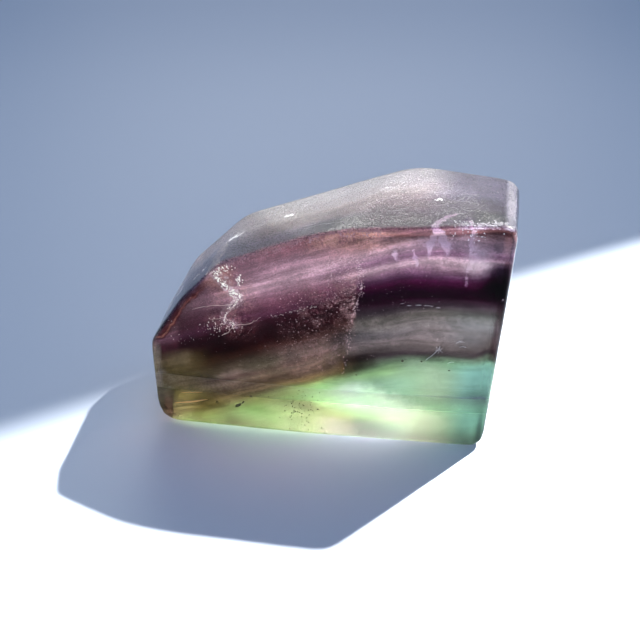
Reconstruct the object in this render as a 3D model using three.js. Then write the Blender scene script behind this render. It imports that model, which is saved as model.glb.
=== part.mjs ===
// Rainbow fluorite freeform: one solid piece of banded fluorite, sawn from rough and
// ground by hand to a standing block with an arched top, a steep shoulder at one end
// and a flat foot. Every face is slightly crowned and every edge is rolled over.
//
// Millimetres, +Z up. The front face looks along -Y, the tall end is at +X and the
// shoulder is at -X. The origin is the middle of the bounding box, at the foot.

import * as THREE from "three";
import { ConvexGeometry } from "three/addons/geometries/ConvexGeometry.js";
import { mergeVertices } from "three/addons/utils/BufferGeometryUtils.js";

// Driving dimensions.
const DEPTH_LEFT = 21.8; // how far back the back face stands, at the shoulder end
const DEPTH_RIGHT = 25.6; // the same, at the tall end
const FRONT_BOW = 1.4; // how far the front face bellies forward between its ends
const BOW_PEAK_X = 38; // where it stands furthest forward
const BOW_REACH = 40; // from there to where the belly is used up
const FRONT_CROWN = 0.3; // extra rise of the front face between foot and top
const BACK_CROWN = 0.6;
const FRONT_EDGE_R = 0.7; // how far the front face's edges are rolled over
const BACK_EDGE_R = 1.8;
const FOOT_EDGE_R = 0.5; // along the back of the foot, which is sawn flat and left crisp
const FOOT_BLEND_Z = 6; // height by which the back edge has its full roll
const CROWN_EDGE = 0.96; // where a crowned face ends, as a share of its outline
const RIM_STEP = 1.6; // distance between the balls that are rolled round a rim
const BALL_STEPS = 5; // points over a quarter turn of a ball
const CROWN_STEPS = 9; // rings of points over a crowned face
const CROWN_SPOKES = 54; // points round each ring
const MERGE_WITHIN = 1e-3;

// A rim is the outline of the front or back face: its corners as [x, z, corner radius],
// anticlockwise as seen from the front, with x measured from the foot's left end.
const FRONT_RIM = [
  [-2.3, 0.0, 4.2], // rounded toe under the shoulder
  [54.1, 0.0, 2.6], // foot, tall end
  [57.8, 39.9, 2.2], // top corner, tall end
  [27.6, 37.5, 36], // start of the arch
  [9.6, 30.5, 7], // top of the shoulder
  [2.7, 23.5, 16], // middle of the shoulder
  [-2.9, 15.2, 3], // bottom of the shoulder
];
const BACK_RIM = [
  [-5.2, 0.0, 6],
  [54.6, 0.0, 3],
  [58.3, 38.9, 3.4],
  [40.2, 41.4, 16],
  [10.0, 31.6, 9],
  [0.6, 22.8, 12],
  [-5.2, 12.8, 5],
];

const frontY = (x) => FRONT_BOW * (((x - BOW_PEAK_X) / BOW_REACH) ** 2 - 1);

function backY(x) {
  const left = BACK_RIM[0][0];
  const right = BACK_RIM[1][0];
  return THREE.MathUtils.mapLinear(x, left, right, DEPTH_LEFT, DEPTH_RIGHT) - BACK_CROWN;
}

// The outline with its corners rounded, as a closed path in the XZ plane.
function roundedRim(corners) {
  const points = corners.map(([x, z]) => new THREE.Vector2(x, z));
  const path = new THREE.Path();
  corners.forEach(([, , radius], i) => {
    const corner = points[i];
    const before = points.at(i - 1).clone().sub(corner);
    const after = points[(i + 1) % points.length].clone().sub(corner);
    const half = before.angleTo(after) / 2;
    const reach = Math.min(radius / Math.tan(half), before.length() * 0.45, after.length() * 0.45);
    const start = corner.clone().add(before.setLength(reach));
    const end = corner.clone().add(after.setLength(reach));
    if (i === 0) path.moveTo(start.x, start.y);
    else path.lineTo(start.x, start.y);
    path.quadraticCurveTo(corner.x, corner.y, end.x, end.y);
  });
  path.closePath();
  return path;
}

// How far the back edge is rolled over at a height above the foot.
function backEdgeRadius(z) {
  return THREE.MathUtils.lerp(FOOT_EDGE_R, BACK_EDGE_R, THREE.MathUtils.smoothstep(z, 0, FOOT_BLEND_Z));
}

// Points on the outer quarter of a ball rolled round a rim. facing is -1 for the front
// face and +1 for the back one; faceY gives the face's depth at x.
function rolledEdge(corners, radiusAt, facing, faceY) {
  const path = roundedRim(corners);
  const count = Math.round(path.getLength() / RIM_STEP);
  const points = [];
  for (let i = 0; i < count; i++) {
    const at = path.getPointAt(i / count);
    const along = path.getTangentAt(i / count);
    const radius = radiusAt(at.y);
    for (let k = 0; k <= BALL_STEPS; k++) {
      const turn = (k / BALL_STEPS) * (Math.PI / 2);
      const inset = radius * (1 - Math.cos(turn));
      const x = at.x - along.y * inset;
      const z = at.y + along.x * inset;
      points.push(new THREE.Vector3(x, faceY(x) - facing * radius * (1 - Math.sin(turn)), z));
    }
  }
  return points;
}

// Points over a face that is crowned by rise towards its middle.
function crown(corners, rise, facing, faceY) {
  const outline = roundedRim(corners).getSpacedPoints(CROWN_SPOKES);
  const middle = new THREE.Box2().setFromPoints(outline).getCenter(new THREE.Vector2());
  const points = [];
  for (let ring = 0; ring < CROWN_STEPS; ring++) {
    const out = ring / CROWN_STEPS;
    for (const edge of outline) {
      const at = middle.clone().lerp(edge, out * CROWN_EDGE);
      points.push(new THREE.Vector3(at.x, faceY(at.x) + facing * rise * (1 - out * out), at.y));
    }
  }
  return points;
}

// The skin stretched tight over both rolled rims and both crowned faces.
function stoneGeometry() {
  const skin = new ConvexGeometry([
    ...rolledEdge(FRONT_RIM, () => FRONT_EDGE_R, -1, frontY),
    ...crown(FRONT_RIM, FRONT_CROWN, -1, frontY),
    ...rolledEdge(BACK_RIM, backEdgeRadius, 1, backY),
    ...crown(BACK_RIM, BACK_CROWN, 1, backY),
  ]);
  skin.deleteAttribute("normal");
  const geometry = mergeVertices(skin, MERGE_WITHIN);
  geometry.center();
  geometry.computeBoundingBox();
  geometry.translate(0, 0, -geometry.boundingBox.min.z);
  geometry.computeVertexNormals();
  return geometry;
}

const fluorite = new THREE.MeshStandardMaterial({
  color: 0x8c7f8e,
  roughness: 0.12,
  metalness: 0,
});

const stone = new THREE.Mesh(stoneGeometry(), fluorite);
stone.name = "fluorite_stone";

const part = new THREE.Group();
part.add(stone);

export default part;
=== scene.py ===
# %% [markdown]
# # Rainbow fluorite freeform
#
# This is a palm-size block of banded fluorite. It was sawn from rough and ground by
# hand, so its faces are nearly flat, its edges are rolled over and its inside shows the
# growth bands, cracks and specks of the crystal. The scene is in metres, in the frame of
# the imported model: +Z up, the front face towards -Y, the tall end towards +X.

import math
import random

import bmesh
import bpy
from mathutils import Matrix, Vector, bvhtree, kdtree, noise
from mathutils.geometry import intersect_point_line


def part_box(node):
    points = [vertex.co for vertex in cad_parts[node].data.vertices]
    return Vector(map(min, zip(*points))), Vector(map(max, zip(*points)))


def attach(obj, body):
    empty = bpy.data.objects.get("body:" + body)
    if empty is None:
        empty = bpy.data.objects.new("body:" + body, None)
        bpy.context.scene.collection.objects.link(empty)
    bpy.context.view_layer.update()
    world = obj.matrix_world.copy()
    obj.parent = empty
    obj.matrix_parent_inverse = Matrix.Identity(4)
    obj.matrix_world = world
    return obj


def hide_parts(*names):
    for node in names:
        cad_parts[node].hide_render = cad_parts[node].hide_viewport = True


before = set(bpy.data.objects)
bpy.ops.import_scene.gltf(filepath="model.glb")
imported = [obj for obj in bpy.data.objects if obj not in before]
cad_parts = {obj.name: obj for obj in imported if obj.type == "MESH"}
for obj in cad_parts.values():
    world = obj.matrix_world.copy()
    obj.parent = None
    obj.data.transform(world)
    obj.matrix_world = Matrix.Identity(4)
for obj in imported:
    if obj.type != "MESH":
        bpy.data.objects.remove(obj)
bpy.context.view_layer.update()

MM = 0.001
STONE = "fluorite_stone"
low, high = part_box(STONE)
print("stone from", tuple(round(v / MM, 1) for v in low), "to", tuple(round(v / MM, 1) for v in high), "mm")

# %% [markdown]
# ## Camera
#
# A small thing on a table is looked down on, with a long lens so that its faces keep
# their shape. The camera is aimed at the middle of the front face and turned a little,
# so that the tall end is nearer.

# %% Camera
CAMERA_TURN = math.radians(8.475)
CAMERA_TILT = math.radians(25)
CAMERA_DISTANCE = 197.7 * MM
LENS = 67.5
AIM_UP = 0.5215  # share of the stone's height
aim = Vector((0, low.y + 1.4 * MM, high.z * AIM_UP))

camera = bpy.data.objects.new("camera", bpy.data.cameras.new("camera"))
camera.data.sensor_width = 36
camera.data.lens = LENS
camera.data.clip_start = 5 * MM
camera.rotation_euler = (math.pi / 2 - CAMERA_TILT, 0, CAMERA_TURN)
looking = camera.rotation_euler.to_matrix() @ Vector((0, 0, -1))
camera.location = aim - looking * CAMERA_DISTANCE
bpy.context.collection.objects.link(camera)
bpy.context.scene.camera = camera
print("camera at", tuple(round(v / MM, 1) for v in camera.location), "mm")

# %% [markdown]
# ## Helpers for materials
#
# Every finish here is worked out by nodes from a point's place in the stone, so it needs
# no picture and no unwrapping. Small helpers keep the node code short: `add` makes a
# node and links or sets its inputs, and the others calculate, fade, blend and band.

# %% Node helpers
def new_material(name):
    material = bpy.data.materials.new(name)
    material.use_nodes = True
    tree = material.node_tree
    tree.nodes.clear()
    return material, tree, tree.nodes.new("ShaderNodeOutputMaterial")


def add(tree, kind, links, **settings):
    made = tree.nodes.new("ShaderNode" + kind)
    for name, value in settings.items():
        setattr(made, name, value)
    for name, value in links.items():
        if isinstance(value, bpy.types.NodeSocket):
            tree.links.new(value, made.inputs[name])
        else:
            made.inputs[name].default_value = value
    return made


def sum_up(tree, operation, *values):
    links = dict(enumerate(values))
    return add(tree, "Math", links, operation=operation).outputs[0]


def fade(tree, value, start, end, low_value=0.0, high_value=1.0):
    links = {"Value": value, "From Min": start, "From Max": end, "To Min": low_value, "To Max": high_value}
    return add(tree, "MapRange", links, interpolation_type="SMOOTHSTEP").outputs[0]


def blend(tree, amount, first, second, kind="MIX"):
    made = add(tree, "Mix", {0: amount, 6: first, 7: second}, data_type="RGBA", blend_type=kind)
    return made.outputs[2]


def hexed(text):
    channels = [int(text[i:i + 2], 16) / 255 for i in (0, 2, 4)]
    linear = [c / 12.92 if c <= 0.04045 else ((c + 0.055) / 1.055) ** 2.4 for c in channels]
    return (*linear, 1.0)


def bands(tree, level, stops, top):
    made = add(tree, "ValToRGB", {"Fac": sum_up(tree, "DIVIDE", level, top)})
    elements = made.color_ramp.elements
    while len(elements) > 1:
        elements.remove(elements[-1])
    for index, (height, colour) in enumerate(stops):
        element = elements.new(height / top) if index else elements[0]
        element.position = height / top
        element.color = hexed(colour)
    return made.outputs[0]

# %% [markdown]
# ## Table and light
#
# The stone stands on a plain pale table. A warm lamp behind its right shoulder throws
# the shadow forwards and lights the crystal from within. Its barn door cuts the light off
# along a straight line on the table. Soft windows behind the stone give the ground top
# its sheen and fill the foot with light, a low warm card in front picks out the flakes,
# and a cool sky fills the shadow. One bright sky could light it all, but lamps that are
# placed one by one can each be moved and dimmed.

# %% Table
GAP_UNDER_FOOT = 0.08 * MM  # a ground foot touches a table only here and there
TABLE_HALF = 2.0

shape = bmesh.new()
bmesh.ops.create_grid(shape, x_segments=1, y_segments=1, size=TABLE_HALF)
bmesh.ops.translate(shape, verts=shape.verts, vec=(0, 0, -GAP_UNDER_FOOT))
table = bpy.data.objects.new("table", bpy.data.meshes.new("table"))
shape.to_mesh(table.data)
shape.free()
bpy.context.collection.objects.link(table)

TABLE_COLOUR = (0.64, 0.73, 0.86, 1)
material, tree, output = new_material("pale_table")
paint = add(tree, "BsdfPrincipled", {"Base Color": TABLE_COLOUR, "Roughness": 0.6})
tree.links.new(paint.outputs[0], output.inputs["Surface"])
table.data.materials.append(material)
print("table", 2 * TABLE_HALF, "m wide,", GAP_UNDER_FOOT / MM, "mm under the stone")

# %% Lamp
def place_light(name, kind, spot, aim_at, power, colour):
    lamp = bpy.data.lights.new(name, kind)
    lamp.energy = power
    lamp.color = colour
    light = bpy.data.objects.new(name, lamp)
    light.location = spot
    light.rotation_euler = (Vector(spot) - Vector(aim_at)).to_track_quat("Z", "Y").to_euler()
    light.visible_camera = False
    bpy.context.collection.objects.link(light)
    return lamp


LAMP_DISTANCE = 0.75
LAMP_SPOT = Vector((0.64, 0.754, 1.0)).normalized() * LAMP_DISTANCE
LAMP_POWER = 82.0
LAMP_COLOUR = (1.0, 0.97, 0.93)
BARN_DOOR_ANGLE = math.radians(65)  # from the beam's middle to its edge
EDGE_FROM, EDGE_TO = Vector((-56 * MM, -21 * MM, 0)), Vector((64.5 * MM, 89 * MM, 0))
edge_middle = (EDGE_FROM + EDGE_TO) / 2
to_edge = (edge_middle - LAMP_SPOT).normalized()
to_lit_side = to_edge.cross(EDGE_TO - EDGE_FROM).normalized()
beam = to_edge * math.cos(BARN_DOOR_ANGLE) + to_lit_side * math.sin(BARN_DOOR_ANGLE)
lamp = place_light("lamp", "SPOT", LAMP_SPOT, LAMP_SPOT + beam, LAMP_POWER, LAMP_COLOUR)
lamp.spot_size = 2 * BARN_DOOR_ANGLE
lamp.spot_blend = 0.008
lamp.shadow_soft_size = 8 * MM
print("beam towards", tuple(round(v, 2) for v in beam))

# %% Windows
DAYLIGHT = (1.0, 0.98, 0.95)
LOW_SUN = (1.0, 0.95, 0.86)
WINDOWS_AIM = (0, 0, 15 * MM)


def place_window(name, turn, tilt, distance, width, height, radiance, colour=DAYLIGHT, spread=70):
    across = math.cos(math.radians(tilt)) * distance
    spot = (
        math.sin(math.radians(turn)) * across,
        math.cos(math.radians(turn)) * across,
        math.sin(math.radians(tilt)) * distance,
    )
    power = radiance * math.pi * width * height
    window = place_light(name, "AREA", spot, WINDOWS_AIM, power, colour)
    window.shape = "RECTANGLE"
    window.size = width
    window.size_y = height
    window.spread = math.radians(spread)
    print(name, "of", round(power, 3), "W")


place_window("wide_window", -12, 21, 0.8, 0.58, 0.56, 0.08)
place_window("bright_pane", -8, 29.5, 0.8, 0.36, 0.16, 0.49, spread=42)
place_window("far_pane", -8, 9, 1.6, 0.80, 0.22, 0.42)
place_window("low_pane", -8, 3.5, 1.0, 1.3, 0.10, 0.12)
place_window("front_card", 176, 12, 0.42, 0.30, 0.10, 1.6, LOW_SUN)

# %% [markdown]
# Through the front face the eye meets the table behind the stone, mirrored in the
# underside. A real table is lit brightly there and glows. Two cards that lie behind
# the stone and shine upwards do its work, and the camera doesn't see them.

# %% Cards and sky
CARD_HEIGHT = 0.5 * MM
CARD_COLOUR = (1.0, 0.98, 0.96)
CARD_RADIANCE = 0.82


def place_card(name, left, right, near, far):
    spot = Vector(((left + right) / 2 * MM, (near + far) / 2 * MM, CARD_HEIGHT))
    width, depth = (right - left) * MM, (far - near) * MM
    power = CARD_RADIANCE * math.pi * width * depth
    card = place_light(name, "AREA", spot, spot + Vector((0, 0, 1)), power, CARD_COLOUR)
    card.shape = "RECTANGLE"
    card.size = width
    card.size_y = depth
    print(name, "of", round(power, 4), "W")


behind = high.y / MM
place_card("left_card", -40, -2, behind, 38)
place_card("far_card", -40, 40, 38, 80)

SKY_COLOUR = (0.38, 0.58, 0.95, 1)
SKY_STRENGTH = 0.36
sky = bpy.data.worlds.new("sky")
sky.use_nodes = True
backdrop = sky.node_tree.nodes["Background"]
backdrop.inputs["Color"].default_value = SKY_COLOUR
backdrop.inputs["Strength"].default_value = SKY_STRENGTH
bpy.context.scene.world = sky
bpy.context.scene.view_settings.view_transform = "Standard"

# %% [markdown]
# ## The ground stone
#
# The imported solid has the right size, but its crowned faces are flat facets. A copy of
# it is wrapped in a fine even skin by a voxel remesh, and the skin is smoothed: a little
# everywhere, and much more where the face is calm, so that the facets go and the rolled
# edges stay.

# %% Shaping helpers
def new_piece(name, shape):
    piece = bpy.data.objects.new(name, bpy.data.meshes.new(name))
    shape.to_mesh(piece.data)
    shape.free()
    bpy.context.collection.objects.link(piece)
    return piece


def smooth(shape, verts, rounds):
    axes = {"use_axis_x": True, "use_axis_y": True, "use_axis_z": True}
    for _ in range(rounds):
        bmesh.ops.smooth_vert(shape, verts=verts, factor=0.5, **axes)


def bend_at(vert):
    around = [edge.other_vert(vert).normal for edge in vert.link_edges]
    return max(vert.normal.angle(normal, 0) for normal in around)


# %% Wrapping
SKIN_STEP = 0.32 * MM

shape = bmesh.new()
shape.from_mesh(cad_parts[STONE].data)
bmesh.ops.remove_doubles(shape, verts=shape.verts, dist=0.001 * MM)
bmesh.ops.recalc_face_normals(shape, faces=shape.faces)
body = new_piece("fluorite_body", shape)
wrap = body.modifiers.new("wrap", "REMESH")
wrap.mode = "VOXEL"
wrap.voxel_size = SKIN_STEP
wrapped = bpy.data.meshes.new_from_object(body.evaluated_get(bpy.context.evaluated_depsgraph_get()))
body.modifiers.clear()
print(len(wrapped.polygons), "faces in the wrap")

# %% Smoothing
CRISP_BELOW = 1.6 * MM  # the foot was sawn, and its edges stay crisp
EDGE_BEND = 25  # degrees a millimetre, on a rolled edge
CALM_BEND = 12  # the same, between facets
ROUNDS_ALL, ROUNDS_UPPER, ROUNDS_CALM = 2, 6, 120
EDGE_MARGIN = 4  # rings of points left alone beside an edge

shape = bmesh.new()
shape.from_mesh(wrapped)
smooth(shape, shape.verts, ROUNDS_ALL)
smooth(shape, [vert for vert in shape.verts if vert.co.z > CRISP_BELOW], ROUNDS_UPPER)
shape.normal_update()
bends = [math.degrees(bend_at(vert)) / (SKIN_STEP / MM) for vert in shape.verts]
edge_spots = [vert.co.copy() for vert, bend in zip(shape.verts, bends) if bend > EDGE_BEND]
busy = {vert for vert, bend in zip(shape.verts, bends) if bend > CALM_BEND}
for _ in range(EDGE_MARGIN):
    busy |= {edge.other_vert(vert) for vert in busy for edge in vert.link_edges}
smooth(shape, [vert for vert in shape.verts if vert not in busy], ROUNDS_CALM)
print(len(shape.faces), "faces in the skin,", len(edge_spots), "of its points on a rolled edge")

# %% [markdown]
# Hand grinding leaves faces that are never quite flat, and years of handling leave
# small shell-shaped chips. The faces get a slow and a quick wave, and chips are scooped
# out with a ball held just outside the surface: a point inside the ball is pushed
# straight away from its centre, which is how such a break really curves.

# %% Waves
SLOW_WAVE = (0.10 * MM, 9 * MM)  # height and length
QUICK_WAVE = (0.02 * MM, 2.4 * MM)
FULL_WAVE_FROM = 1.5 * MM  # the flat foot has no wave

shape.normal_update()
for vert in shape.verts:
    off_foot = min(1.0, max(0.0, vert.co.z / FULL_WAVE_FROM))
    for height, length in (SLOW_WAVE, QUICK_WAVE):
        vert.co += vert.normal * (height * off_foot * noise.noise(vert.co / length))
print("waves up to", sum((SLOW_WAVE[0], QUICK_WAVE[0])) / MM, "mm high")

# %% [markdown]
# Wear and stain follow the edges, the crack and the smears. A painted mask would need an
# unwrapped surface. Here each point of the skin stores how far it is from them, and the
# material reads those distances later.

# %% Distance to the edges
RIM_Y = -11.0 * MM
RIM_Z = 16.5 * MM
RIM_END = 30 * MM


def find_among(points):
    made = kdtree.KDTree(len(points))
    for index, point in enumerate(points):
        made.insert(point, index)
    made.balance()
    return made


rim_spots = [spot for spot in edge_spots if spot.y < RIM_Y and spot.z > RIM_Z and spot.x < RIM_END]
edge_finder = find_among(edge_spots)
rim_finder = find_among(rim_spots)
edge_gap = shape.verts.layers.float.new("edge_gap")
rim_gap = shape.verts.layers.float.new("rim_gap")
frost = shape.verts.layers.float.new("frost")
for vert in shape.verts:
    vert[edge_gap] = edge_finder.find(vert.co)[2] / MM
    vert[rim_gap] = rim_finder.find(vert.co)[2] / MM
print(len(rim_spots), "points of the edge make the front rim")

# %% Distance to the crack and to the smears
CRACK = [
    (-17.9, 29.0), (-16.3, 27.8), (-15.0, 26.2), (-13.4, 24.9), (-14.1, 23.7), (-15.5, 22.5), (-16.1, 20.7),
    (-13.8, 19.8),
]
CRACK_WIDTHS = [1.2, 0.8, 0.5, 0.3, 0.15, 0.05, 0.1, 0.2]
SMEARS_ON_FRONT = [
    ([(18.5, 38.7), (18.2, 37.4), (17.6, 36.2), (17.5, 34.4)], [0.4, 0.5, 0.6, 0.05]),
    ([(19.2, 38.5), (19.6, 37.2), (20.3, 36.0), (20.4, 34.4)], [0.4, 0.7, 0.6, 0.05]),
    ([(12.0, 35.4), (12.2, 34.2), (12.5, 33.1)], [0.05, 0.3, 0.05]),
    ([(15.1, 35.0), (15.4, 33.9), (15.8, 32.6)], [0.05, 0.35, 0.05]),
    ([(24.4, 38.9), (24.1, 37.3), (24.0, 35.5), (24.9, 34.2)], [0.3, 0.3, 0.3, 0.6]),
    ([(24.4, 34.0), (23.6, 31.6), (23.5, 29.4)], [0.3, 0.05, 0.1]),
]
SMEARS_ON_TOP = [
    ([(18.6, -13.0), (18.2, -11.6), (18.8, -10.4), (20.2, -8.6), (21.6, -7.9)], [0.6, 0.5, 0.5, 0.35, 0.05]),
    ([(23.9, -12.8), (23.9, -11.4), (23.5, -9.6)], [0.3, 0.2, 0.05]),
]


def gap_to_path(spot, path, widths):
    gaps = []
    for first, last, start, end in zip(path, path[1:], widths, widths[1:]):
        nearest, share = intersect_point_line(spot, Vector(first), Vector(last))
        share = min(1.0, max(0.0, share))
        nearest = Vector(first).lerp(Vector(last), share)
        gaps.append((spot - nearest).length - (start + (end - start) * share))
    return min(gaps)


FAR_OFF = 9.0  # millimetres, beyond the reach of any stain
FACES_UP = 0.6
crack_gap = shape.verts.layers.float.new("crack_gap")
smear_gap = shape.verts.layers.float.new("smear_gap")
shape.normal_update()
for vert in shape.verts:
    x, y, z = vert.co / MM
    in_front, above = Vector((x, z)), Vector((x, y))
    vert[crack_gap] = gap_to_path(in_front, CRACK, CRACK_WIDTHS) if y < 0 else FAR_OFF
    if vert.normal.z > FACES_UP:
        vert[smear_gap] = min(gap_to_path(above, *smear) for smear in SMEARS_ON_TOP)
    elif y < 0:
        vert[smear_gap] = min(gap_to_path(in_front, *smear) for smear in SMEARS_ON_FRONT)
    else:
        vert[smear_gap] = FAR_OFF
print(len(SMEARS_ON_FRONT), "smears on the front,", len(SMEARS_ON_TOP), "on the top")

# %% Chips
CHIPS_ON_EDGES = 10
random.seed(11)
shape.verts.ensure_lookup_table()
vert_finder = find_among([vert.co for vert in shape.verts])


def scoop(spot, radius, depth, frosting):
    near = shape.verts[vert_finder.find(spot)[1]]
    centre = near.co + near.normal * (radius - depth)
    for _, index, _ in vert_finder.find_range(near.co, radius):
        vert = shape.verts[index]
        away = vert.co - centre
        if away.length < radius:
            vert.co = centre + away.normalized() * radius
            vert[frost] = max(vert[frost], frosting)


for _ in range(CHIPS_ON_EDGES):
    spot = random.choice(edge_spots)
    size = random.uniform(0.35, 0.9) ** 1.5 * MM
    scoop(spot, size, size * random.uniform(0.15, 0.4), random.uniform(0.3, 1.0))
body.data = bpy.data.meshes.new("fluorite_body")
shape.to_mesh(body.data)
shape.free()
for polygon in body.data.polygons:
    polygon.use_smooth = True
print(CHIPS_ON_EDGES, "chips on the edges")

# %% [markdown]
# ## Fluorite
#
# The colour of the stone is laid on in steps, each with a soft mask that says where it
# goes. A mask is a number from 0 to 1. `fade` turns a distance into one, `between` rises
# and falls again, `product` keeps what masks share, and `stain` lays a tint through one.

# %% Masks
def product(tree, *values):
    made = values[0]
    for value in values[1:]:
        made = sum_up(tree, "MULTIPLY", made, value)
    return made


def total(tree, *values):
    made = values[0]
    for value in values[1:]:
        made = sum_up(tree, "ADD", made, value)
    return made


def between(tree, value, start, full_from, full_to, end):
    return product(tree, fade(tree, value, start, full_from), fade(tree, value, end, full_to))


def mix(tree, amount, first, second):
    return add(tree, "Mix", {0: amount, 2: first, 3: second}).outputs[0]


def speckle(tree, where, scale, detail, roughness=0.5):
    links = {"Vector": where, "Scale": scale, "Detail": detail, "Roughness": roughness}
    return add(tree, "TexNoise", links).outputs["Fac"]


def grey(tree, value):
    return add(tree, "CombineColor", {0: value, 1: value, 2: value}).outputs[0]


def measured(tree, name):
    return add(tree, "Attribute", {}, attribute_name=name).outputs["Fac"]


def stain(tree, colour, mask, amount, tint, kind="MIX"):
    return blend(tree, product(tree, mask, amount), colour, hexed(tint), kind)


def tell(tree, made):
    print(made + " made, with", len(tree.nodes), "nodes so far")

# %% [markdown]
# Fluorite grows in layers, and each layer takes its colour from what was in the water
# at the time. Here the layers arch up towards the tall end and dip gently to the back.
# Bending the height of a point by that arch gives its level, a number that is the same
# all over one layer, and two ramps of colour are read off it.

# %% Levels
material, tree, output = new_material("fluorite")
place = add(tree, "TexCoord", {}).outputs["Object"]
in_mm = add(tree, "VectorMath", {0: place, "Scale": 1 / MM}, operation="SCALE").outputs[0]
x, y, z = add(tree, "SeparateXYZ", {0: in_mm}).outputs

ARCH_TOP_X = 17.0
DIP = 0.30
TOP_LEVEL = 50.0
along = sum_up(tree, "SUBTRACT", ARCH_TOP_X, x)
bow = sum_up(tree, "SQRT", sum_up(tree, "MULTIPLY_ADD", along, along, 16.0))
drop = sum_up(tree, "MULTIPLY_ADD", bow, 0.21, sum_up(tree, "MULTIPLY_ADD", along, 0.14, -0.84))
dip = sum_up(tree, "MULTIPLY_ADD", y, DIP, 12.5 * DIP)
squashed = add(tree, "Mapping", {"Vector": in_mm, "Scale": (0.25, 0.5, 1.0)}).outputs[0]
sway = speckle(tree, squashed, 0.16, 4.0)
level = total(tree, z, drop, dip, sum_up(tree, "MULTIPLY_ADD", sway, 3.0, -1.5))
print("levels run from 0 to", TOP_LEVEL, "with the arch at x", ARCH_TOP_X, "mm")

# %% [markdown]
# No real layer keeps to one arch. Near the right end the low and the high ones rise
# against the middle ones, and just past the middle they sag. A little is added to the
# level there, or taken off, which moves only the layers that are named.

# %% Layers that leave the arch
other_levels = sum_up(tree, "SUBTRACT", 1.0, between(tree, level, 19.5, 21.5, 26.5, 28.5))
risen_levels = product(tree, fade(tree, level, 15, 19, 0.5, 1.0), fade(tree, level, 34, 31.5))
at_right = product(tree, fade(tree, x, 12, 20), fade(tree, x, 28, 25, -0.3, 1.2))
right_rise = product(tree, at_right, other_levels, risen_levels)
fallen_levels = between(tree, level, 16, 18, 29, 31)
left_fall = product(tree, fade(tree, x, 3, 12, -1.0, 0.0), fade(tree, x, 1, 4), fallen_levels)
low_levels = between(tree, level, 16, 19, 20, 24)
low_rise = product(tree, fade(tree, x, 8, 3, 0.0, 0.6), low_levels)
level = total(tree, level, right_rise, left_fall, low_rise)
tell(tree, "the stray layers")

# %% [markdown]
# The two ends of the block hold the same layers in slightly different colours, clear
# violet at the tall end and brownish at the shoulder. Each end gets its own ramp, with a
# stop where the colour of the layers turns.

# %% Band colours
TALL_END = [
    (14, "8a9c80"), (16.2, "66705e"), (17.4, "524648"), (18.6, "6c625e"), (20, "90827e"), (22, "8c8482"),
    (24, "807a74"), (25.4, "5c5056"), (27.2, "38062a"), (29.1, "2e0028"), (30.5, "581c44"), (31.4, "704c68"),
    (32.6, "a08092"), (33.8, "dcc4c8"), (34.9, "a07c94"), (36.4, "dcc0c8"), (37.6, "d4b4b4"), (39, "c89c94"),
    (41, "a08490"),
]
SHOULDER_END = [
    (14, "a8b888"), (15.6, "7c7854"), (16.8, "7c6a50"), (18.4, "5a4c40"), (19.4, "6e5e50"), (20.3, "8a7a6c"),
    (20.9, "6c5852"), (21.6, "82746c"), (23, "72625c"), (24.4, "583c36"), (26, "2e0a10"), (28, "340c1a"),
    (29.3, "3c1422"), (30.6, "684256"), (32, "845a6a"), (33.2, "94707c"), (34.4, "ac8c98"), (36, "dcc0c6"),
    (38, "b89aa4"), (40, "ac9098"), (41, "947880"),
]
tall_end = bands(tree, level, TALL_END, TOP_LEVEL)
shoulder_end = bands(tree, level, SHOULDER_END, TOP_LEVEL)
print(len(TALL_END), "colours at the tall end,", len(SHOULDER_END), "at the shoulder")

# %% [markdown]
# A healed crack crosses the shoulder half like a veil, and shows the layers behind it
# through a brown haze. It ends in a wavy edge a little right of the middle, and there
# the two ramps meet.

# %% Where the veil ends
ragged = speckle(tree, in_mm, 0.55, 6.0, 0.6)
veil_end = sum_up(tree, "MULTIPLY_ADD", ragged, 3.4, fade(tree, z, 15.0, 27.0, 2.4, 4.6))
past_veil = fade(tree, sum_up(tree, "SUBTRACT", x, veil_end), -0.1, 0.25)
veiled = between(tree, level, 12, 15, 31, 34)
colour = blend(tree, mix(tree, veiled, fade(tree, x, -6, 12), past_veil), shoulder_end, tall_end)
tell(tree, "the bands")

# %% Darker and duller ends
on_shoulder = product(tree, fade(tree, x, -8, -23), fade(tree, level, 30, 33), 0.75)
shoulder_shade = blend(tree, fade(tree, x, -19, -25), hexed("6a4656"), hexed("300c14"))
colour = blend(tree, on_shoulder, colour, shoulder_shade)
shoulder_haze = product(tree, fade(tree, x, -18, -24), fade(tree, level, 28.5, 25))
colour = stain(tree, colour, shoulder_haze, 0.85, "8a7a60")
dark_levels = total(tree, fade(tree, level, 35, 33), fade(tree, level, 35, 37.5, 0.0, 0.5))
right_shade = product(tree, fade(tree, x, 24, 29), fade(tree, level, 26, 28), dark_levels)
colour = stain(tree, colour, right_shade, 0.9, "504064", "MULTIPLY")
right_grey = product(tree, fade(tree, x, 18, 24), between(tree, level, 18, 20, 24, 25.5))
colour = stain(tree, colour, right_grey, 1.0, "dce4e6", "MULTIPLY")
tell(tree, "the darker ends")

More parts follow.
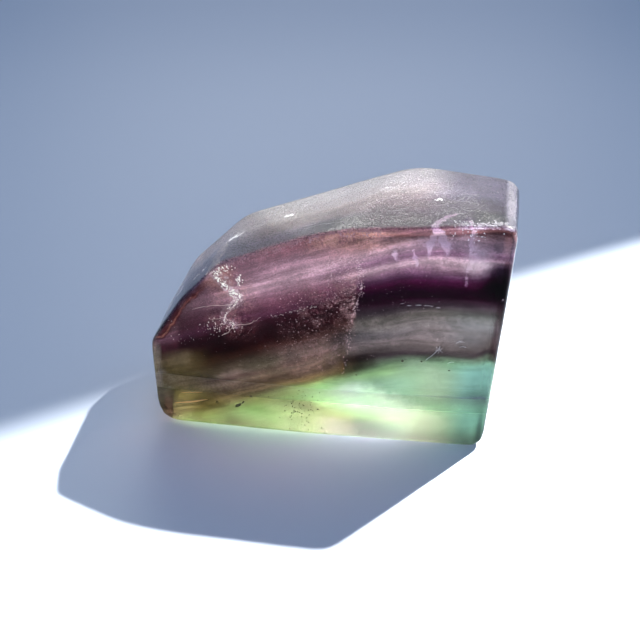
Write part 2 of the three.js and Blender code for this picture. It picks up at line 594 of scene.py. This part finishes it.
# %% Bubbles in the veil
clotted = speckle(tree, in_mm, 0.5, 2.0)
bubbly = total(tree, speckle(tree, in_mm, 2.6, 5.0, 0.75), sum_up(tree, "MULTIPLY_ADD", clotted, 0.5, -0.25))
before_veil_end = sum_up(tree, "SUBTRACT", 1.0, past_veil)
in_veil = product(tree, fade(tree, x, -13, 2), before_veil_end, between(tree, level, 16, 21, 33, 36))
colour = stain(tree, colour, product(tree, fade(tree, bubbly, 0.48, 0.58), in_veil), 0.75, "a08484")
at_veil_end = fade(tree, sum_up(tree, "SUBTRACT", veil_end, x), 2.6, 0.2)
at_veil_end = product(tree, at_veil_end, in_veil, fade(tree, bubbly, 0.42, 0.62))
colour = stain(tree, colour, at_veil_end, 0.7, "dcc0c0")
tell(tree, "the veil")

# %% [markdown]
# Rust has crept in wherever the skin is open: round the crack on the shoulder, and in a
# thin line under the rim. The skin's vertices already hold their distance to both, so
# the stains follow them however the edge is ground. At the tall end the rim is darkened
# by a painted shade instead.

# %% Stain and haze at the crack
from_crack = measured(tree, "crack_gap")
crack_stain = product(tree, fade(tree, from_crack, 3.0, 0.4), fade(tree, z, 25, 28), fade(tree, x, -13, -16))
colour = stain(tree, colour, crack_stain, 0.6, "b88058")
crack_haze = product(tree, fade(tree, from_crack, 4.2, 0.3), fade(tree, bubbly, 0.40, 0.60))
colour = stain(tree, colour, crack_haze, 0.6, "e0c0b0")
tell(tree, "the stain at the crack")

# %% Rust under the rim, and a painted shade along it at the tall end
rim = measured(tree, "rim_gap")
rust = product(tree, fade(tree, rim, 1.9, 0.5), between(tree, x, -14, -2, 4, 12))
colour = stain(tree, colour, rust, 0.7, "9c6a70")
glow = product(tree, between(tree, x, -4, 1, 7, 12), fade(tree, rim, 2.6, 0.8, 0.0, 0.85))
colour = stain(tree, colour, product(tree, glow, fade(tree, bubbly, 0.36, 0.56)), 1.0, "f4ccb4")
# A painted shade darkens the rolled rim at the tall end, to hold back the light it lets through.
rim_shade = product(tree, fade(tree, rim, 0.8, 0.3), fade(tree, x, 10, 14))
colour = stain(tree, colour, rim_shade, 1.0, "b49ea6", "MULTIPLY")
down_shoulder = fade(tree, x, -18, -21)
broken_up = fade(tree, clotted, 0.35, 0.55, 0.6, 1.0)
dark_stripe = product(tree, fade(tree, rim, 1.1, 0.8), down_shoulder, broken_up)
colour = stain(tree, colour, dark_stripe, 1.0, "4a161a")
thin_line = product(tree, between(tree, rim, 0.35, 0.5, 0.65, 0.75), down_shoulder)
colour = stain(tree, colour, thin_line, 1.0, "8c5248")
tell(tree, "the rust")

# %% [markdown]
# Under the bands the crystal is clear green, which pales from the left to the middle and
# turns to teal at the right, where a slanting shade crosses it. A ramp along the length
# gives the run of the colour, and a few soft masks darken or clear parts of it.

# %% Green base
GREEN_FROM, GREEN_TO = -32.0, 32.0
GREENS = [
    (2, "a4d87c"), (10, "b4ec90"), (16, "b4f0a0"), (22, "b8f4a4"), (28, "c4ffac"), (34, "d4ffbc"),
    (39, "dcffcc"), (44, "f0ffdc"), (50, "c0ccb0"), (54, "a0b498"), (60, "a0bca8"), (63, "9cb8a4"),
]
green = bands(tree, sum_up(tree, "SUBTRACT", x, GREEN_FROM), GREENS, GREEN_TO - GREEN_FROM)
slope = total(tree, product(tree, x, 0.35), product(tree, z, 0.94), -1.5)
slope = sum_up(tree, "MULTIPLY_ADD", ragged, 3.0, slope)
slant = product(tree, fade(tree, slope, 11.2, 14.0), fade(tree, x, 3, 10))
green = stain(tree, green, slant, 1.0, "8cb08a")
teal = blend(tree, fade(tree, z, 5, 8), hexed("7ca496"), hexed("98c4aa"))
green = blend(tree, fade(tree, x, 20, 25), green, teal)
tell(tree, "the green base")

# %% Dim parts of the green
dim = mix(tree, fade(tree, x, 9, 16), fade(tree, z, 7.5, 12.0, 1.0, 0.5), 0.95)
left_patch = product(tree, between(tree, z, 3.5, 6.0, 8.0, 9.2), between(tree, x, -22, -18, -7, 1))
dim_patch = sum_up(tree, "MULTIPLY_ADD", left_patch, -0.45, 1.0)
# Low in the right corner the green darkens, a painted shade where the right edge would refract a dark view.
shaded_right_corner = mix(tree, fade(tree, x, 19, 26), 1.0, fade(tree, z, 0, 5, 0.3, 1.0))
high_corner = product(tree, fade(tree, x, 24, 27), fade(tree, z, 8.5, 10.5))
dim_corner = sum_up(tree, "MULTIPLY_ADD", high_corner, -0.15, 1.0)
value = product(tree, dim, dim_patch, shaded_right_corner, dim_corner)
green = add(tree, "HueSaturation", {"Color": green, "Value": value}).outputs[0]
tell(tree, "the dim parts")

# %% Upper and lower green
upper_tint = blend(tree, between(tree, x, 4, 9, 15, 20), hexed("f8dcec"), hexed("f0dee0"))
green = blend(tree, fade(tree, z, 7.0, 9.5), green, upper_tint, "MULTIPLY")
above_foot = product(tree, fade(tree, z, 4.0, 6.0), between(tree, x, -7, -2, 15, 19))
middle_tint = blend(tree, fade(tree, x, 4, 9), hexed("d2c2dc"), hexed("d8dadc"))
green = blend(tree, above_foot, green, middle_tint, "MULTIPLY")
clear_foot = product(tree, between(tree, x, -2, 4, 12, 17), fade(tree, z, 4.8, 2.6, 0.0, 0.85))
green = stain(tree, green, clear_foot, 1.0, "e2ffe8")
tell(tree, "the green's tints")

# %% Where the green meets the bands
at_line = fade(tree, level, 12.6, 15.0)
green = stain(tree, green, product(tree, at_line, fade(tree, x, 1, -4)), 0.5, "989860")
green = stain(tree, green, product(tree, at_line, between(tree, x, -3, 1, 11, 15)), 0.75, "788c62")
green_level = total(tree, level, fade(tree, x, -8, -13, 0.0, 0.7))
in_green = fade(tree, green_level, 16.6, 14.4)
colour = blend(tree, in_green, colour, green)
dark_layer = product(tree, between(tree, level, 14.8, 16.2, 17.4, 18.8), between(tree, x, 2, 4.5, 7, 9))
colour = stain(tree, colour, dark_layer, 1.0, "b4a8a4", "MULTIPLY")
tell(tree, "the line over the green")

# %% Olive low on the left
shaded_up = total(tree, z, fade(tree, x, -18, -23, 0.0, 2.5))
low_left = product(tree, fade(tree, shaded_up, 2.5, 4.5), fade(tree, z, 8.5, 6), fade(tree, x, -7, -11))
olive = blend(tree, fade(tree, x, -15, -19), hexed("baccb1"), hexed("c0ccae"))
colour = blend(tree, low_left, colour, olive, "MULTIPLY")
tell(tree, "the olive part")

# %% [markdown]
# What is seen low in the front face is the back's foot, mirrored in the underside. A pale
# back foot keeps that strip bright, as a clear edge does. The left end was ground in two
# small facets, which are paler too.

# %% Pale foot at the back
facing = add(tree, "SeparateXYZ", {0: add(tree, "NewGeometry", {}).outputs["True Normal"]}).outputs
pale_foot = product(tree, fade(tree, facing[1], 0.1, 0.4), fade(tree, z, 11, 7))
foot_colour = blend(tree, fade(tree, x, -8, 4), hexed("a49c6c"), hexed("d0e8b0"))
colour = blend(tree, pale_foot, colour, foot_colour)
tell(tree, "the pale foot")

# %% Facets at the left end
low_facet = product(tree, fade(tree, x, -25, -26.5), between(tree, z, 3, 5, 6.5, 8))
colour = stain(tree, colour, low_facet, 0.7, "a49c84")
high_facet = product(tree, fade(tree, x, -27.2, -28.0), between(tree, z, 5, 8, 13, 16))
colour = stain(tree, colour, high_facet, 0.6, "b8aca4")
tell(tree, "the left facets")

# %% [markdown]
# The top is ground but not polished, so it looks greyer than the front, and dark where
# the bands under it are dark. It is coloured along the depth, because its bands come up
# to it at a slant, with a ramp of its own on the shoulder. The ramp also holds painted
# light: the near part is darkened as a painted shade, and the far part whitens to a
# painted sheen.

# %% Ground top
TOP_FROM, TOP_TO = -13.5, 13.5
# The ramp holds painted light: dark near the rim as a painted shade, near white at the back as a painted
# sheen.
TOPS = [
    (0.2, "c8a8a0"), (1.6, "94808a"), (3, "54485e"), (6, "6c6074"), (9, "8a7c7a"), (11, "a89c98"),
    (12.5, "d4c8c4"), (14, "e8e2de"), (17, "fcf6f4"), (20, "ffffff"), (23, "f4f6f8"), (25, "c8ccd4"),
]
wander = sum_up(tree, "MULTIPLY_ADD", sway, 6.0, -3.0)
backward = total(tree, sum_up(tree, "SUBTRACT", y, TOP_FROM), wander)
ground_top = bands(tree, backward, TOPS, TOP_TO - TOP_FROM)
past_rim = fade(tree, backward, 0.6, 2.2)
# A painted shade darkens the near part of the top and its middle.
deep = product(tree, fade(tree, backward, 8.5, 5), past_rim, between(tree, x, -5, 1, 17, 20))
ground_top = stain(tree, ground_top, deep, 0.9, "1c142a")
middle = product(tree, fade(tree, x, 4, 9), fade(tree, backward, 15.5, 13.0))
ground_top = stain(tree, ground_top, middle, 0.5, "7c6872")
tell(tree, "the ground top")

# %% Right of the top, with painted shade and highlights
# The right part of the top is a painted shade, darkest at the near corner.
shaded_right_top = blend(tree, fade(tree, backward, 9, 16), hexed("4e3e5c"), hexed("7c7694"))
shaded_near_corner = product(tree, fade(tree, x, 23, 26), fade(tree, backward, 8, 5))
shaded_right_top = stain(tree, shaded_right_top, shaded_near_corner, 1.0, "1e1c32")
ground_top = blend(tree, product(tree, fade(tree, x, 14, 22), past_rim), ground_top, shaded_right_top)
# A painted highlight runs along the rolled right edge of the top.
ground_top = stain(tree, ground_top, fade(tree, x, 28.8, 29.8), 1.0, "e8eaf4")
before_rim = sum_up(tree, "SUBTRACT", 1.0, past_rim)
# Pale specks by the front rim at the tall end are partly wear and partly a painted highlight.
rim_wear_and_highlight = product(tree, fade(tree, x, 21, 24), before_rim, fade(tree, bubbly, 0.4, 0.55))
ground_top = stain(tree, ground_top, rim_wear_and_highlight, 1.0, "fcf8ff")
tell(tree, "the right of the top")

# %% Ground shoulder
# The shoulder's ramp runs from a painted shade, dark blue-grey by the rim, to a painted sheen, near white at
# the back.
SHOULDERS = [
    (0.5, "746e80"), (3, "747c92"), (8, "8890a4"), (12, "b0b8c8"), (15, "e4e8ee"), (19, "fcfcff"),
    (23, "e8f0f8"),
]
shoulder_top = bands(tree, backward, SHOULDERS, TOP_TO - TOP_FROM)
ground_top = blend(tree, fade(tree, x, -8, -20), ground_top, shoulder_top)
facing_up = total(tree, facing[2], fade(tree, x, -16, -22, 0.0, 0.22))
upward = fade(tree, facing_up, 0.3, 0.75)
colour = blend(tree, upward, colour, ground_top)
tell(tree, "the ground shoulder")

# %% Grit of the grinding, and painted sparkle
# The specks are partly the grain of the grinding and partly a painted sparkle of the ground top.
grit_and_sparkle = fade(tree, speckle(tree, in_mm, 5.0, 2.0, 0.8), 0.35, 0.65, 0.5, 1.6)
colour = blend(tree, product(tree, upward, 0.8), colour, grey(tree, grit_and_sparkle), "MULTIPLY")
tell(tree, "the grit")

# %% [markdown]
# Each layer is itself a stack of hair-thin ones. A noise that is stretched along the
# level's own surface draws them, and they bend with the bands. Clouds and dust make them
# uneven. They are faint in the green and on the top.

# %% Fine growth lines
stretched = {0: product(tree, x, 0.06), 1: product(tree, y, 0.08), 2: level}
stacked = add(tree, "CombineXYZ", stretched).outputs[0]
lines = fade(tree, speckle(tree, stacked, 1.3, 6.0, 0.62), 0.32, 0.68, 0.55, 1.35)
clouds = fade(tree, speckle(tree, in_mm, 0.3, 6.0, 0.65), 0.3, 0.7, 0.7, 1.3)
dusty = fade(tree, speckle(tree, in_mm, 3.0, 3.0, 0.75), 0.34, 0.66, 0.75, 1.3)
lines = grey(tree, product(tree, lines, clouds, dusty))
off_green = sum_up(tree, "MULTIPLY_ADD", in_green, -0.6, 0.8)
off_top = fade(tree, upward, 0, 1, 1.0, 0.45)
colour = blend(tree, product(tree, off_green, off_top), colour, lines, "MULTIPLY")
tell(tree, "the growth lines")

# %% [markdown]
# Lilac smears hang from the rim at the tall end, where mud dried in hairline cracks that
# reach the skin, and a white cloud lies beside them. The loose flakes of the open crack
# whiten its whole width. Each is painted by its distance to a path, roughened by noise.

# %% Lilac smears
feathery = speckle(tree, in_mm, 1.1, 6.0, 0.7)
from_smear = sum_up(tree, "MULTIPLY_ADD", feathery, 2.0, measured(tree, "smear_gap"))
colour = stain(tree, colour, fade(tree, from_smear, 1.25, 0.85), 0.8, "f8e4f4")
CLOUD = (25.3, -12.9, 33.6)
from_cloud = add(tree, "VectorMath", {0: in_mm, 1: CLOUD}, operation="DISTANCE").outputs["Value"]
from_cloud = sum_up(tree, "MULTIPLY_ADD", feathery, 3.0, from_cloud)
colour = stain(tree, colour, fade(tree, from_cloud, 4.9, 1.9), 0.75, "f4ecf0")
tell(tree, "the lilac smears")

# %% Flakes in the crack
FLAKE_WHITE = (1.0, 0.98, 0.88, 1)
shard = add(tree, "TexVoronoi", {"Vector": in_mm, "Scale": 1.7, "Randomness": 1.0}).outputs["Distance"]
reach = sum_up(tree, "SUBTRACT", sum_up(tree, "MULTIPLY_ADD", bubbly, 3.0, from_crack), 1.5)
flaky = product(tree, fade(tree, reach, 0.55, 0.25), fade(tree, shard, 0.5, 0.38, 0.25, 1.0))
colour = blend(tree, flaky, colour, FLAKE_WHITE)
tell(tree, "the flakes")

# %% [markdown]
# A see-through solid takes its colour on the way through. Here the skin tints the light
# as it comes in and as it goes out, most strongly at the front and the top, and the
# volume inside absorbs a little more. The front is nearly polished, and the top is dull
# and sparkles. The back's edges and a band low on the front are frosted, and so the hard
# line of the back edge is blurred where it would be seen through the stone.

# %% Strength of the tint
worn = measured(tree, "frost")
gap = measured(tree, "edge_gap")
FRONT_STRENGTH, BACK_STRENGTH, TOP_EXTRA = 1.45, 0.45, 0.75
strength = fade(tree, facing[1], -0.5, 0.5, FRONT_STRENGTH, BACK_STRENGTH)
strength = sum_up(tree, "MULTIPLY_ADD", upward, TOP_EXTRA, strength)
colour = add(tree, "Gamma", {"Color": colour, "Gamma": strength}).outputs[0]
colour = blend(tree, worn, colour, (0.85, 0.85, 0.88, 1))
tell(tree, "the tint")

# %% Ground and frosted skin
POLISHED = 0.08
front_finish = mix(tree, fade(tree, facing[1], -0.3, -0.8), POLISHED, fade(tree, x, 3.0, 8.0, 0.19, 0.15))
top_finish = fade(tree, x, 2, 10, 0.3, 0.4)
roughness = mix(tree, fade(tree, facing[2], 0.3, 0.8), front_finish, top_finish)
sparkle = fade(tree, speckle(tree, in_mm, 3.5, 3.0, 0.8), 0.38, 0.62, -0.16, 0.16)
low_band = product(tree, between(tree, z, 6.2, 7.1, 8.7, 9.6), fade(tree, y, -11, -12))
misting = total(tree, fade(tree, x, -2, -8, 0.16, 0.34), fade(tree, x, 6, 12, 0.0, 0.14))
back_edges = product(tree, fade(tree, gap, 1.2, 0.4), fade(tree, y, 4, 8))
roughness = total(
    tree, roughness, product(tree, sparkle, upward), product(tree, low_band, misting),
    product(tree, worn, 0.3), product(tree, back_edges, 0.4),
)
tell(tree, "the roughness")

# %% [markdown]
# A glass shader would make every part equally clear. The Principled shader is used
# instead, because it lets most of the light through and still scatters the rest just
# under the skin, which gives the milky depth of a flawed crystal. Its mirror tint is
# turned down, so that the dark bands stay dark where the sky would wash them out.

# %% Fluorite
FLUORITE_INDEX = 1.434
GLOW_DEPTH = 6 * MM  # how far scattered light spreads under the skin
principled = add(tree, "BsdfPrincipled", {
    "Base Color": colour,
    "Roughness": roughness,
    "IOR": FLUORITE_INDEX,
    "Specular Tint": (0.06, 0.06, 0.06, 1),
    "Transmission Weight": 0.93,
    "Subsurface Weight": 1.0,
    "Subsurface Radius": (1.0, 1.0, 1.0),
    "Subsurface Scale": GLOW_DEPTH,
})
absorption = add(tree, "VolumeAbsorption", {"Color": (0.85, 0.80, 0.86, 1), "Density": 2.0})
tree.links.new(principled.outputs[0], output.inputs["Surface"])
tree.links.new(absorption.outputs[0], output.inputs["Volume"])
body.data.materials.clear()
body.data.materials.append(material)
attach(body, "root")
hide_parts(STONE)
tell(tree, "fluorite")

# %% [markdown]
# ## What is sealed in the stone
#
# A healed crack is a sheet of tiny bubbles, a fresh one is a row of bright flakes where
# its two sides no longer touch, and both end in fine threads. Each mark is its own small
# closed solid, set just under the skin or breaking through it. One ray finds the skin
# above a mark, and the mark is laid along it.

# %% Finding the skin
FAR_FRONT, FAR_ABOVE = -40, 60  # where the rays start, in millimetres
skin = bvhtree.BVHTree.FromPolygons(
    [vert.co for vert in body.data.vertices],
    [tuple(polygon.vertices) for polygon in body.data.polygons],
)
RIGHT, UP, BACK = Vector((1, 0, 0)), Vector((0, 0, 1)), Vector((0, 1, 0))


def on_front(x, z, depth=0.0):
    spot, normal = skin.ray_cast(Vector((x, FAR_FRONT, z)) * MM, BACK)[:2]
    return (spot - normal * depth * MM, normal) if spot else (None, None)


def on_top(x, y, depth=0.0):
    spot, normal = skin.ray_cast(Vector((x, y, FAR_ABOVE)) * MM, -UP)[:2]
    return (spot - normal * depth * MM, normal) if spot else (None, None)


def lay(spot, normal, turn):
    ahead = Matrix.Rotation(turn, 3, normal) @ RIGHT
    across = normal.cross(ahead).normalized()
    return Matrix.Translation(spot) @ Matrix((across.cross(normal), across, normal)).transposed().to_4x4()


print("the front's skin at its middle is at y", round(on_front(0, 15)[0].y / MM, 1), "mm")

# %% Grains
ANY_TURN = 6  # radians, nearly all the way round


def grain(shape, found, long, wide, thick, turn):
    spot, normal = found
    if spot is None:
        return
    made = bmesh.ops.create_icosphere(shape, subdivisions=1, radius=0.5)
    for vert in made["verts"]:
        vert.co *= random.uniform(0.55, 1.0)
    size = Matrix.Diagonal((long * MM, wide * MM, thick * MM, 1))
    bmesh.ops.transform(shape, matrix=lay(spot, normal, turn) @ size, verts=made["verts"])


def sprinkle(shape, count, sizes, find, narrow=0.6, thick=0.06):
    for _ in range(count):
        long = random.uniform(*sizes)
        found = find()
        grain(shape, found, long, long * narrow, thick, random.uniform(0, ANY_TURN))


def pick(points, spread):
    index = random.randrange(len(points) - 1)
    share = random.random()
    across, up = (a + (b - a) * share for a, b in zip(points[index], points[index + 1]))
    return across + random.gauss(0, spread), up + random.gauss(0, spread)


# %% Threads
def thread(paths, radius, name, finder):
    lines = bpy.data.curves.new(name, "CURVE")
    lines.dimensions = "3D"
    lines.bevel_depth = radius * MM
    lines.bevel_resolution = 0
    lines.use_fill_caps = True
    for points, step, wobble in paths:
        spots = []
        for first, last in zip(points, points[1:]):
            pieces = max(1, round(math.dist(first, last) / step))
            for index in range(pieces):
                across, up = (a + (b - a) * index / pieces for a, b in zip(first, last))
                spots.append(finder(across + random.gauss(0, wobble), up + random.gauss(0, wobble))[0])
        spots.append(finder(*points[-1])[0])
        spots = [spot for spot in spots if spot]
        if len(spots) < 2:
            continue
        spline = lines.splines.new("POLY")
        spline.points.add(len(spots) - 1)
        for index, (point, spot) in enumerate(zip(spline.points, spots)):
            point.co = (*spot, 1)
            point.radius = 0.25 if index in (0, len(spots) - 1) else random.uniform(0.5, 1.1)
    drawn = bpy.data.objects.new(name, lines)
    bpy.context.collection.objects.link(drawn)
    shape = bmesh.new()
    shape.from_mesh(drawn.to_mesh())
    bpy.data.objects.remove(drawn)
    return shape


# %% Sealing a mark
def seal(name, shape, tint):
    bmesh.ops.recalc_face_normals(shape, faces=shape.faces)
    piece = new_piece(name, shape)
    material, tree, output = new_material(name)
    paint = add(tree, "BsdfPrincipled", {"Base Color": hexed(tint), "Roughness": 0.5})
    tree.links.new(paint.outputs[0], output.inputs["Surface"])
    piece.data.materials.append(material)
    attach(piece, "root")
    print(name, len(piece.data.polygons), "faces")


random.seed(5)

# %% [markdown]
# An open crack starts at the top of the shoulder and runs down the front in a zigzag.
# Light is thrown back by its loose flakes, which are thickest where it breaks the rim.
# A painted line alone would stay flat, so over it lie real grains, and the threads are
# thin tubes drawn along paths.

# %% Crack
CRACK_FLAKES = [  # count, path, spread, smallest, largest
    (80, CRACK[:4], 0.35, 0.15, 0.6),
    (40, CRACK[3:], 0.15, 0.1, 0.35),
    (40, [(-17.5, 29.0), (-14.6, 29.9)], 0.4, 0.12, 0.5),
    (36, [(-13.5, 27.5), (-13.2, 28.8)], 0.3, 0.1, 0.4),
    (70, [(-18.5, 19.4), (-14.0, 19.6)], 0.7, 0.08, 0.3),
    (40, [(-25.6, 15.6), (-18.0, 18.8), (-12.0, 20.4)], 0.9, 0.06, 0.16),
    (45, [(-10.2, 21.4), (0.0, 24.5)], 0.12, 0.06, 0.2),
]
CRACK_THREADS = [  # path, step, wobble
    ([(-21.4, 22.1), (-18.0, 23.0), (-14.3, 23.6)], 0.5, 0.08),
    ([(-18.3, 20.4), (-15.9, 21.2), (-14.0, 19.8)], 0.5, 0.08),
    ([(-16.5, 17.5), (-14.0, 19.8), (-11.7, 20.3), (-10.2, 21.4)], 0.5, 0.08),
    ([(-18.4, 29.4), (-15.4, 26.8), (-13.2, 24.6)], 0.4, 0.15),
    ([(-15.0, 26.2), (-13.9, 23.8), (-15.9, 21.4)], 0.4, 0.12),
]
shape = bmesh.new()
for count, path, spread, smallest, largest in CRACK_FLAKES:
    sprinkle(shape, count, (smallest, largest), lambda: on_front(*pick(path, spread)), thick=0.1)
seal("crack_flakes", shape, "fffaee")
seal("crack_threads", thread(CRACK_THREADS, 0.03, "crack_lines", on_front), "e0cfc4")

# %% [markdown]
# The healed crack behind the shoulder half is a veil of bubbles. They lie thickest along
# its edge, and a few deeper ones show that the sheet leans back into the stone. The
# painted haze gives the sheet its tone, and these grains give it a texture that catches
# the light.

# %% Veil
VEIL_EDGE = [(6.2, 33.0), (7.0, 29.5), (6.9, 27.2), (5.6, 23.6), (5.2, 20.0), (4.8, 16.0), (4.0, 12.4)]
VEIL_PATCHES = [  # count, left, right, bottom, top, depth
    (300, 1.2, 6.8, 24.0, 33.0, 0.03),
    (200, -7.0, 5.4, 17.0, 27.0, 0.03),
    (50, -2.0, 6.0, 13.0, 32.0, 3.0),
]


def in_patch(left, right, bottom, top, depth):
    across, up = random.uniform(left, right), random.uniform(bottom, top)
    return on_front(across, up, random.uniform(-0.01, depth))


shape = bmesh.new()
for count, *patch in VEIL_PATCHES:
    sprinkle(shape, count, (0.06, 0.2), lambda: in_patch(*patch), narrow=0.7, thick=0.08)
for count, edge, spread, largest in ((110, VEIL_EDGE[:4], 0.22, 0.3), (50, VEIL_EDGE[3:], 0.1, 0.18)):
    for _ in range(count):
        across, up = pick(edge, spread)
        long = random.uniform(0.06, largest)
        grain(shape, on_front(across, up), long, long * 0.6, 0.08, random.uniform(0, ANY_TURN))
seal("veil_bubbles", shape, "d8bcc0")

# %% [markdown]
# ## Streaks, specks and scratches
#
# Low at the left a golden streak of rusty mud dried in a hairline crack. It is a row of
# long grains that overlap, so it thickens and thins along its path as a dried film does.

# %% Golden streak
GOLDEN = [  # path, widths
    ([(-25.2, 3.8), (-22.5, 4.3), (-19.6, 5.1)], [0.2, 0.45, 0.1]),
    ([(-24.0, 6.0), (-20.5, 6.4)], [0.12, 0.08]),
]
STREAK_STEP = 0.22
OVERLAP = 4  # each grain is this many steps long


def streak(shape, path, widths):
    for first, last, start, end in zip(path, path[1:], widths, widths[1:]):
        length = math.dist(first, last)
        steps = max(2, round(length / STREAK_STEP))
        turn = math.atan2(last[1] - first[1], last[0] - first[0])
        for index in range(steps):
            share = index / steps
            across, up = (a + (b - a) * share for a, b in zip(first, last))
            wide = start + (end - start) * share
            grain(shape, on_front(across, up), length / steps * OVERLAP, wide, 0.06, turn)


shape = bmesh.new()
for path, widths in GOLDEN:
    streak(shape, path, widths)
seal("golden_streaks", shape, "c89c68")

# %% [markdown]
# The dark specks are grains of ore that grew with the crystal. The few large ones are
# listed one by one, and the small ones scatter round a spot low on the front.

# %% Dark specks
LARGE_SPECKS = [  # across, up, long, wide, turn in degrees
    (-14.1, 4.6, 1.6, 0.75, 35), (-13.2, 5.3, 1.0, 0.5, 50), (-11.8, 6.6, 0.6, 0.5, 0),
    (-17.9, 4.8, 0.8, 0.4, 20), (13.9, 15.6, 0.7, 0.6, 80), (17.0, 15.7, 0.5, 0.4, 0),
    (21.6, 14.3, 0.5, 0.35, 0), (6.3, 12.4, 0.5, 0.4, 0),
]
LOWEST_SPECK = 0.8
shape = bmesh.new()
for across, up, long, wide, turn in LARGE_SPECKS:
    grain(shape, on_front(across, up), long, wide, 0.08, math.radians(turn))
for _ in range(130):
    across, up = random.gauss(-2.6, 2.0), random.gauss(4.8, 2.2)
    long = random.uniform(0.1, 0.4)
    if up > LOWEST_SPECK:
        grain(shape, on_front(across, up), long, long * 0.7, 0.06, random.uniform(0, ANY_TURN))
seal("dark_specks", shape, "2a2a10")

# %% [markdown]
# Where a pit in the ground top was struck, the crystal is bruised white. Each bruise is
# a cluster of pale flakes, spread wider along the stone than across it.

# %% White flecks
BRUISES = [  # across, back, spread across, spread back, count
    (-16.6, -0.6, 0.7, 0.35, 60), (-7.3, 1.1, 0.5, 0.2, 30), (18.2, -2.4, 0.3, 0.3, 12),
    (-25.9, -3.5, 0.3, 0.5, 12), (-21.0, -6.5, 0.5, 0.3, 10), (9.5, 3.0, 0.6, 0.3, 10),
]


def in_bruise(across, back, spread_x, spread_y):
    return on_top(random.gauss(across, spread_x), random.gauss(back, spread_y))


shape = bmesh.new()
for *bruise, count in BRUISES:
    sprinkle(shape, count, (0.2, 0.8), lambda: in_bruise(*bruise), thick=0.14)
seal("white_flecks", shape, "ffffff")

# %% [markdown]
# Grinding dust stays in the pores of the top. The pale grains also stand in for the
# sparkle of the ground top, a painted glint, and they are thickest along the right edge
# and at the near corner of the tall end, where they add to the painted highlight there.
# Thousands of flat grains cost little and glint one by one, which a bump map could not do.

# %% Dust and painted sparkle
shape = bmesh.new()
sprinkle(
    shape, 1600, (0.05, 0.17), thick=0.05,
    find=lambda: on_top(random.uniform(-26, 29), random.uniform(-12, 12)),
)
# Pale grains massed along the right edge and at the near corner, on the top and the front, add to the
# painted highlight there.
sprinkle(
    shape, 500, (0.05, 0.22),
    find=lambda: on_top(30.9 - random.expovariate(1.0), random.uniform(-12.6, 11)),
)
sprinkle(
    shape, 200, (0.08, 0.4),
    find=lambda: on_top(random.triangular(20, 30, 27), random.gauss(-11.7, 0.6)),
)
sprinkle(
    shape, 34, (0.08, 0.34),
    find=lambda: on_front(random.uniform(20.6, 26.2), random.gauss(37.9, 0.35)),
)
seal("dust_and_sparkle", shape, "dcd8e2")

# %% [markdown]
# The front is polished, so it holds far less dust, most of it high on the shoulder side.

# %% Front dust
shape = bmesh.new()
sprinkle(
    shape, 500, (0.05, 0.14), narrow=0.7, thick=0.04,
    find=lambda: on_front(random.triangular(-27, 28, -10), random.triangular(6, 38, 28)),
)
seal("front_dust", shape, "a8949c")

# %% [markdown]
# Hands wear the rim between the front and the top, and the bruised edge darkens with
# what it picks up. The grains start from points of the rolled edge that were found in
# the skin, and fall a little to either side of it.

# %% Worn rim
worn_spots = [spot for spot in rim_spots if -19 < spot.x / MM < 10]
shape = bmesh.new()
for _ in range(600):
    spot = random.choice(worn_spots) / MM
    long = random.uniform(0.1, 0.4)
    found = on_front(spot.x + random.gauss(0, 0.2), spot.z - abs(random.gauss(0, 0.2)))
    grain(shape, found, long, long * 0.6, 0.05, random.uniform(0, ANY_TURN))
    found = on_top(spot.x + random.gauss(0, 0.2), spot.y + abs(random.gauss(0, 0.25)))
    grain(shape, found, long, long * 0.6, 0.05, random.uniform(0, ANY_TURN))
seal("rim_wear", shape, "94707a")

# %% [markdown]
# Scratches are thin tubes like the threads of the crack. The front has a small star,
# where a point struck it, and short nicks. The long ones on the top are the wheel's.

# %% Front scratches
STAR = (19.8, 18.0)
FRONT_SCRATCHES = [([STAR, (18.6, 16.9), (17.7, 15.9)], 0.5, 0.04)]
for turn in range(20, 380, 60):
    tip = (STAR[0] + 0.7 * math.cos(math.radians(turn)), STAR[1] + 0.7 * math.sin(math.radians(turn)))
    FRONT_SCRATCHES.append(([STAR, tip], 0.3, 0.03))
FRONT_SCRATCHES += [
    ([(22.4, 19.2), (23.1, 19.6), (23.8, 19.5)], 0.4, 0.03),
    ([(23.0, 18.6), (23.6, 18.8), (24.2, 18.6)], 0.4, 0.03),
    ([(21.3, 15.6), (21.8, 15.9), (22.3, 15.8)], 0.3, 0.03),
]
for across in (13.2, 14.3, 15.7, 17.0, 17.9, 19.0):
    up = random.uniform(25.4, 26.0)
    FRONT_SCRATCHES.append(([(across, up), (across + random.uniform(0.6, 1.0), up + 0.05)], 0.3, 0.02))
seal("front_scratches", thread(FRONT_SCRATCHES, 0.022, "scratch_lines", on_front), "e6e8ee")

# %% Top scratches
TOP_SCRATCHES = [([(-3.0, -8.4), (-0.5, -8.0), (2.4, -8.9), (3.6, -8.6)], 0.4, 0.1)]
for _ in range(36):
    across, back = random.uniform(-22, 24), random.uniform(-11, 11)
    length = random.uniform(0.8, 3.6)
    end = (across + length, back + random.uniform(-0.5, 0.9))
    TOP_SCRATCHES.append(([(across, back), end], 0.8, 0.04))
seal("top_scratches", thread(TOP_SCRATCHES, 0.016, "top_lines", on_top), "eeeaee")
